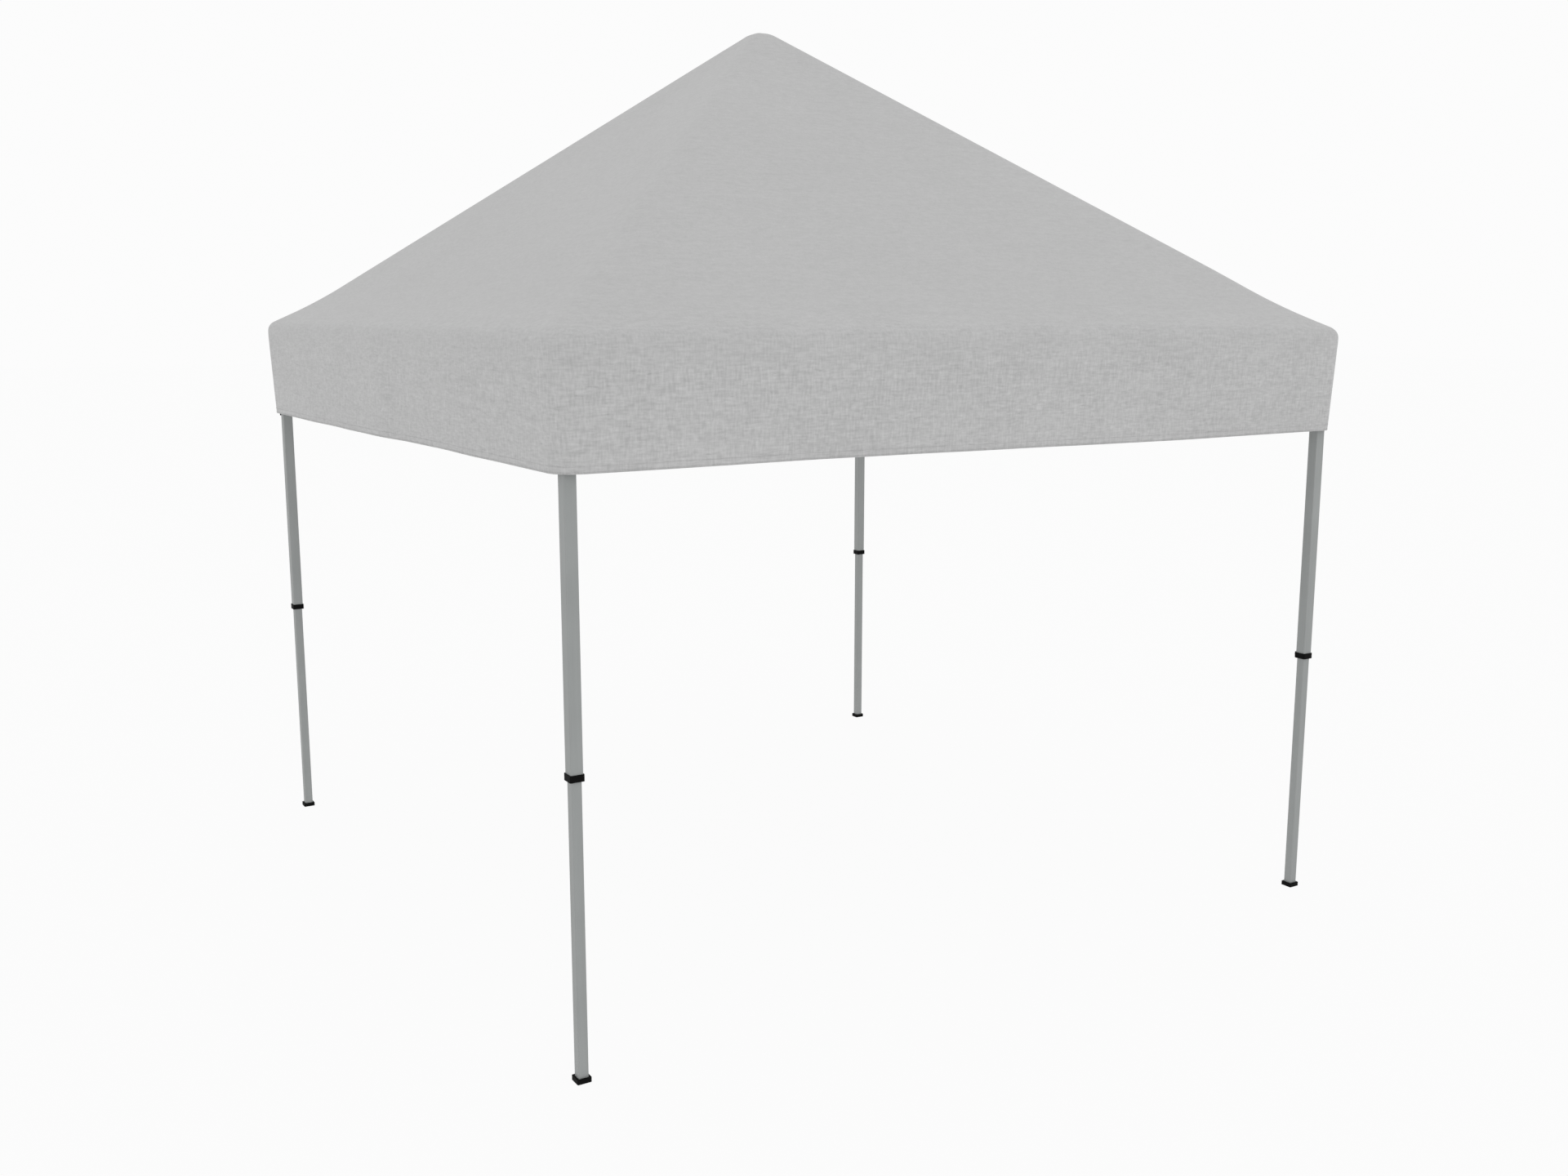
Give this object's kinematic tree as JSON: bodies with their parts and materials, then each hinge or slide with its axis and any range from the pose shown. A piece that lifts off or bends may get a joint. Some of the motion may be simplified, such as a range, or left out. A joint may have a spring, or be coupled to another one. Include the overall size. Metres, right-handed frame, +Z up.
{
  "type": "pop up canopy",
  "caption": "Square pop-up canopy: peaked fabric top with a straight valance on a folding scissor-truss frame and four telescoping legs with square feet.",
  "frame": {"origin": "on the ground at the middle of the four legs", "axes": "+Z up, front at -Y, +X to the right seen from the front"},
  "size_m": [2.994, 2.994, 3.166],
  "materials": {
    "canopy_fabric": "woven polyester, matt",
    "leg_tube": "satin anodised",
    "truss_tube": "satin anodised",
    "black_plastic": "moulded, fine grain",
    "lock_plastic": "moulded, smooth"
  },
  "bodies": {
    "upper_hub": {"upper_hub": "black_plastic", "canopy_top": "canopy_fabric"},
    "lower_hub": {"lower_hub": "black_plastic", "mast": "truss_tube"},
    "front_cross_bar_1": {"front_cross_bar_1": "truss_tube"},
    "front_cross_bar_2": {"front_cross_bar_2": "truss_tube"},
    "front_lower_mid_bracket": {"front_lower_mid_bracket": "black_plastic"},
    "front_upper_mid_bracket": {"front_upper_mid_bracket": "black_plastic"},
    "front_truss_bar_1": {"front_truss_bar_1": "truss_tube"},
    "front_truss_bar_2": {"front_truss_bar_2": "truss_tube"},
    "front_truss_bar_3": {"front_truss_bar_3": "truss_tube"},
    "front_truss_bar_4": {"front_truss_bar_4": "truss_tube"},
    "back_cross_bar_1": {"back_cross_bar_1": "truss_tube"},
    "back_cross_bar_2": {"back_cross_bar_2": "truss_tube"},
    "back_lower_mid_bracket": {"back_lower_mid_bracket": "black_plastic"},
    "back_upper_mid_bracket": {"back_upper_mid_bracket": "black_plastic"},
    "back_truss_bar_1": {"back_truss_bar_1": "truss_tube"},
    "back_truss_bar_2": {"back_truss_bar_2": "truss_tube"},
    "back_truss_bar_3": {"back_truss_bar_3": "truss_tube"},
    "back_truss_bar_4": {"back_truss_bar_4": "truss_tube"},
    "right_truss_bar_1": {"right_truss_bar_1": "truss_tube"},
    "right_truss_bar_2": {"right_truss_bar_2": "truss_tube"},
    "right_truss_bar_3": {"right_truss_bar_3": "truss_tube"},
    "right_truss_bar_4": {"right_truss_bar_4": "truss_tube"},
    "left_truss_bar_1": {"left_truss_bar_1": "truss_tube"},
    "left_truss_bar_2": {"left_truss_bar_2": "truss_tube"},
    "left_truss_bar_3": {"left_truss_bar_3": "truss_tube"},
    "left_truss_bar_4": {"left_truss_bar_4": "truss_tube"},
    "front_left_leg": {"front_left_outer_leg": "leg_tube", "front_left_top_bracket": "black_plastic", "front_left_leg_collar": "black_plastic"},
    "front_left_slider": {"front_left_slider": "black_plastic"},
    "front_left_inner_leg": {"front_left_inner_leg": "leg_tube", "front_left_foot": "black_plastic"},
    "front_left_lock_button": {"front_left_lock_button": "lock_plastic"},
    "front_left_slider_pin": {"front_left_slider_pin": "lock_plastic"},
    "front_right_leg": {"front_right_outer_leg": "leg_tube", "front_right_top_bracket": "black_plastic", "front_right_leg_collar": "black_plastic"},
    "front_right_slider": {"front_right_slider": "black_plastic"},
    "front_right_inner_leg": {"front_right_inner_leg": "leg_tube", "front_right_foot": "black_plastic"},
    "front_right_lock_button": {"front_right_lock_button": "lock_plastic"},
    "front_right_slider_pin": {"front_right_slider_pin": "lock_plastic"},
    "back_right_leg": {"back_right_outer_leg": "leg_tube", "back_right_top_bracket": "black_plastic", "back_right_leg_collar": "black_plastic"},
    "back_right_slider": {"back_right_slider": "black_plastic"},
    "back_right_inner_leg": {"back_right_inner_leg": "leg_tube", "back_right_foot": "black_plastic"},
    "back_right_lock_button": {"back_right_lock_button": "lock_plastic"},
    "back_right_slider_pin": {"back_right_slider_pin": "lock_plastic"},
    "back_left_leg": {"back_left_outer_leg": "leg_tube", "back_left_top_bracket": "black_plastic", "back_left_leg_collar": "black_plastic"},
    "back_left_slider": {"back_left_slider": "black_plastic"},
    "back_left_inner_leg": {"back_left_inner_leg": "leg_tube", "back_left_foot": "black_plastic"},
    "back_left_lock_button": {"back_left_lock_button": "lock_plastic"},
    "back_left_slider_pin": {"back_left_slider_pin": "lock_plastic"}
  },
  "joints": [
    {"name": "fold", "type": "hinge", "parent": "upper_hub", "child": "front_cross_bar_1", "pos_m": [0, -0.035, 1.955], "axis": [1, 0, 0], "range_deg": [0, 77.5]},
    {"name": "front_cross_pivot", "type": "hinge", "parent": "front_cross_bar_1", "child": "front_cross_bar_2", "pos_m": [0, -0.51467, 1.88331], "axis": [1, 0, 0], "range_deg": [-155, 0]},
    {"name": "lower_hub_pivot", "type": "hinge", "parent": "front_cross_bar_2", "child": "lower_hub", "pos_m": [0, -0.035, 1.81162], "axis": [1, 0, 0], "range_deg": [0, 77.5]},
    {"name": "front_upper_mid_pivot", "type": "hinge", "parent": "front_cross_bar_2", "child": "front_upper_mid_bracket", "pos_m": [0, -1.419, 2.01847], "axis": [1, 0, 0], "range_deg": [0, 77.5]},
    {"name": "front_lower_mid_pivot", "type": "hinge", "parent": "front_cross_bar_1", "child": "front_lower_mid_bracket", "pos_m": [0, -1.419, 1.74816], "axis": [1, 0, 0], "range_deg": [-77.5, 0]},
    {"name": "front_bar_1_fold", "type": "hinge", "parent": "front_lower_mid_bracket", "child": "front_truss_bar_1", "pos_m": [0, -1.46, 1.74816], "axis": [0, 1, 0], "range_deg": [0, 77.5]},
    {"name": "front_bar_2_fold", "type": "hinge", "parent": "front_truss_bar_1", "child": "front_truss_bar_2", "pos_m": [-0.90433, -1.46, 1.88331], "axis": [0, 1, 0], "range_deg": [-155, 0]},
    {"name": "front_left_leg_pivot", "type": "hinge", "parent": "front_truss_bar_1", "child": "front_left_leg", "pos_m": [-1.384, -1.46, 1.955], "axis": [0, 1, 0], "range_deg": [-77.5, 0]},
    {"name": "front_left_slider_pivot", "type": "hinge", "parent": "front_truss_bar_2", "child": "front_left_slider", "pos_m": [-1.384, -1.46, 1.81162], "axis": [0, 1, 0], "range_deg": [0, 77.5]},
    {"name": "front_bar_3_fold", "type": "hinge", "parent": "front_lower_mid_bracket", "child": "front_truss_bar_3", "pos_m": [0, -1.46, 1.74816], "axis": [0, 1, 0], "range_deg": [-77.5, 0]},
    {"name": "front_bar_4_fold", "type": "hinge", "parent": "front_truss_bar_3", "child": "front_truss_bar_4", "pos_m": [0.90433, -1.46, 1.88331], "axis": [0, 1, 0], "range_deg": [0, 155]},
    {"name": "front_right_leg_pivot", "type": "hinge", "parent": "front_truss_bar_3", "child": "front_right_leg", "pos_m": [1.384, -1.46, 1.955], "axis": [0, 1, 0], "range_deg": [0, 77.5]},
    {"name": "front_right_slider_pivot", "type": "hinge", "parent": "front_truss_bar_4", "child": "front_right_slider", "pos_m": [1.384, -1.46, 1.81162], "axis": [0, 1, 0], "range_deg": [-77.5, 0]},
    {"name": "back_cross_bar_1_fold", "type": "hinge", "parent": "upper_hub", "child": "back_cross_bar_1", "pos_m": [0, 0.035, 1.955], "axis": [-1, 0, 0], "range_deg": [0, 77.5]},
    {"name": "back_cross_pivot", "type": "hinge", "parent": "back_cross_bar_1", "child": "back_cross_bar_2", "pos_m": [0, 0.51467, 1.88331], "axis": [-1, 0, 0], "range_deg": [-155, 0]},
    {"name": "back_upper_mid_pivot", "type": "hinge", "parent": "back_cross_bar_2", "child": "back_upper_mid_bracket", "pos_m": [0, 1.419, 2.01847], "axis": [-1, 0, 0], "range_deg": [0, 77.5]},
    {"name": "back_lower_mid_pivot", "type": "hinge", "parent": "back_cross_bar_1", "child": "back_lower_mid_bracket", "pos_m": [0, 1.419, 1.74816], "axis": [-1, 0, 0], "range_deg": [-77.5, 0]},
    {"name": "back_bar_1_fold", "type": "hinge", "parent": "back_lower_mid_bracket", "child": "back_truss_bar_1", "pos_m": [0, 1.46, 1.74816], "axis": [0, -1, 0], "range_deg": [0, 77.5]},
    {"name": "back_bar_2_fold", "type": "hinge", "parent": "back_truss_bar_1", "child": "back_truss_bar_2", "pos_m": [0.90433, 1.46, 1.88331], "axis": [0, -1, 0], "range_deg": [-155, 0]},
    {"name": "back_right_leg_pivot", "type": "hinge", "parent": "back_truss_bar_1", "child": "back_right_leg", "pos_m": [1.384, 1.46, 1.955], "axis": [0, -1, 0], "range_deg": [-77.5, 0]},
    {"name": "back_right_slider_pivot", "type": "hinge", "parent": "back_truss_bar_2", "child": "back_right_slider", "pos_m": [1.384, 1.46, 1.81162], "axis": [0, -1, 0], "range_deg": [0, 77.5]},
    {"name": "back_bar_3_fold", "type": "hinge", "parent": "back_lower_mid_bracket", "child": "back_truss_bar_3", "pos_m": [0, 1.46, 1.74816], "axis": [0, -1, 0], "range_deg": [-77.5, 0]},
    {"name": "back_bar_4_fold", "type": "hinge", "parent": "back_truss_bar_3", "child": "back_truss_bar_4", "pos_m": [-0.90433, 1.46, 1.88331], "axis": [0, -1, 0], "range_deg": [0, 155]},
    {"name": "back_left_leg_pivot", "type": "hinge", "parent": "back_truss_bar_3", "child": "back_left_leg", "pos_m": [-1.384, 1.46, 1.955], "axis": [0, -1, 0], "range_deg": [0, 77.5]},
    {"name": "back_left_slider_pivot", "type": "hinge", "parent": "back_truss_bar_4", "child": "back_left_slider", "pos_m": [-1.384, 1.46, 1.81162], "axis": [0, -1, 0], "range_deg": [-77.5, 0]},
    {"name": "right_bar_1_fold", "type": "hinge", "parent": "front_right_leg", "child": "right_truss_bar_1", "pos_m": [1.46, -1.384, 1.955], "axis": [-1, 0, 0], "range_deg": [0, 77.5]},
    {"name": "right_bar_2_fold", "type": "hinge", "parent": "right_truss_bar_1", "child": "right_truss_bar_2", "pos_m": [1.46, -0.90433, 1.88331], "axis": [-1, 0, 0], "range_deg": [-155, 0]},
    {"name": "right_bar_3_fold", "type": "hinge", "parent": "back_right_leg", "child": "right_truss_bar_3", "pos_m": [1.46, 1.384, 1.955], "axis": [-1, 0, 0], "range_deg": [-77.5, 0]},
    {"name": "right_bar_4_fold", "type": "hinge", "parent": "right_truss_bar_3", "child": "right_truss_bar_4", "pos_m": [1.46, 0.90433, 1.88331], "axis": [-1, 0, 0], "range_deg": [0, 155]},
    {"name": "left_bar_1_fold", "type": "hinge", "parent": "back_left_leg", "child": "left_truss_bar_1", "pos_m": [-1.46, 1.384, 1.955], "axis": [1, 0, 0], "range_deg": [0, 77.5]},
    {"name": "left_bar_2_fold", "type": "hinge", "parent": "left_truss_bar_1", "child": "left_truss_bar_2", "pos_m": [-1.46, 0.90433, 1.88331], "axis": [1, 0, 0], "range_deg": [-155, 0]},
    {"name": "left_bar_3_fold", "type": "hinge", "parent": "front_left_leg", "child": "left_truss_bar_3", "pos_m": [-1.46, -1.384, 1.955], "axis": [1, 0, 0], "range_deg": [-77.5, 0]},
    {"name": "left_bar_4_fold", "type": "hinge", "parent": "left_truss_bar_3", "child": "left_truss_bar_4", "pos_m": [-1.46, -0.90433, 1.88331], "axis": [1, 0, 0], "range_deg": [0, 155]},
    {"name": "front_left_height", "type": "slide", "parent": "front_left_leg", "child": "front_left_inner_leg", "axis": [0, 0, -1], "range_m": [-0.84, 0.12]},
    {"name": "front_left_button_press", "type": "slide", "parent": "front_left_leg", "child": "front_left_lock_button", "axis": [0, -1, 0], "range_m": [0, 0.004], "stiffness_N_per_m": 600, "springref_m": -0.002},
    {"name": "front_left_pin_pull", "type": "slide", "parent": "front_left_slider", "child": "front_left_slider_pin", "axis": [1, 0, 0], "range_m": [0, 0.008], "stiffness_N_per_m": 600, "springref_m": -0.002},
    {"name": "front_right_height", "type": "slide", "parent": "front_right_leg", "child": "front_right_inner_leg", "axis": [0, 0, -1], "range_m": [-0.84, 0.12]},
    {"name": "front_right_button_press", "type": "slide", "parent": "front_right_leg", "child": "front_right_lock_button", "axis": [0, -1, 0], "range_m": [0, 0.004], "stiffness_N_per_m": 600, "springref_m": -0.002},
    {"name": "front_right_pin_pull", "type": "slide", "parent": "front_right_slider", "child": "front_right_slider_pin", "axis": [0, 1, 0], "range_m": [0, 0.008], "stiffness_N_per_m": 600, "springref_m": -0.002},
    {"name": "back_right_height", "type": "slide", "parent": "back_right_leg", "child": "back_right_inner_leg", "axis": [0, 0, -1], "range_m": [-0.84, 0.12]},
    {"name": "back_right_button_press", "type": "slide", "parent": "back_right_leg", "child": "back_right_lock_button", "axis": [0, -1, 0], "range_m": [0, 0.004], "stiffness_N_per_m": 600, "springref_m": -0.002},
    {"name": "back_right_pin_pull", "type": "slide", "parent": "back_right_slider", "child": "back_right_slider_pin", "axis": [-1, 0, 0], "range_m": [0, 0.008], "stiffness_N_per_m": 600, "springref_m": -0.002},
    {"name": "back_left_height", "type": "slide", "parent": "back_left_leg", "child": "back_left_inner_leg", "axis": [0, 0, -1], "range_m": [-0.84, 0.12]},
    {"name": "back_left_button_press", "type": "slide", "parent": "back_left_leg", "child": "back_left_lock_button", "axis": [0, -1, 0], "range_m": [0, 0.004], "stiffness_N_per_m": 600, "springref_m": -0.002},
    {"name": "back_left_pin_pull", "type": "slide", "parent": "back_left_slider", "child": "back_left_slider_pin", "axis": [0, -1, 0], "range_m": [0, 0.008], "stiffness_N_per_m": 600, "springref_m": -0.002}
  ],
  "couplings": [
    {"joint": "front_cross_pivot", "follows": "fold", "ratio": -2},
    {"joint": "lower_hub_pivot", "follows": "fold", "ratio": 1},
    {"joint": "front_upper_mid_pivot", "follows": "fold", "ratio": 1},
    {"joint": "front_lower_mid_pivot", "follows": "fold", "ratio": -1},
    {"joint": "front_bar_1_fold", "follows": "fold", "ratio": 1},
    {"joint": "front_bar_2_fold", "follows": "fold", "ratio": -2},
    {"joint": "front_left_leg_pivot", "follows": "fold", "ratio": -1},
    {"joint": "front_left_slider_pivot", "follows": "fold", "ratio": 1},
    {"joint": "front_bar_3_fold", "follows": "fold", "ratio": -1},
    {"joint": "front_bar_4_fold", "follows": "fold", "ratio": 2},
    {"joint": "front_right_leg_pivot", "follows": "fold", "ratio": 1},
    {"joint": "front_right_slider_pivot", "follows": "fold", "ratio": -1},
    {"joint": "back_cross_bar_1_fold", "follows": "fold", "ratio": 1},
    {"joint": "back_cross_pivot", "follows": "fold", "ratio": -2},
    {"joint": "back_upper_mid_pivot", "follows": "fold", "ratio": 1},
    {"joint": "back_lower_mid_pivot", "follows": "fold", "ratio": -1},
    {"joint": "back_bar_1_fold", "follows": "fold", "ratio": 1},
    {"joint": "back_bar_2_fold", "follows": "fold", "ratio": -2},
    {"joint": "back_right_leg_pivot", "follows": "fold", "ratio": -1},
    {"joint": "back_right_slider_pivot", "follows": "fold", "ratio": 1},
    {"joint": "back_bar_3_fold", "follows": "fold", "ratio": -1},
    {"joint": "back_bar_4_fold", "follows": "fold", "ratio": 2},
    {"joint": "back_left_leg_pivot", "follows": "fold", "ratio": 1},
    {"joint": "back_left_slider_pivot", "follows": "fold", "ratio": -1},
    {"joint": "right_bar_1_fold", "follows": "fold", "ratio": 1},
    {"joint": "right_bar_2_fold", "follows": "fold", "ratio": -2},
    {"joint": "right_bar_3_fold", "follows": "fold", "ratio": -1},
    {"joint": "right_bar_4_fold", "follows": "fold", "ratio": 2},
    {"joint": "left_bar_1_fold", "follows": "fold", "ratio": 1},
    {"joint": "left_bar_2_fold", "follows": "fold", "ratio": -2},
    {"joint": "left_bar_3_fold", "follows": "fold", "ratio": -1},
    {"joint": "left_bar_4_fold", "follows": "fold", "ratio": 2}
  ]
}
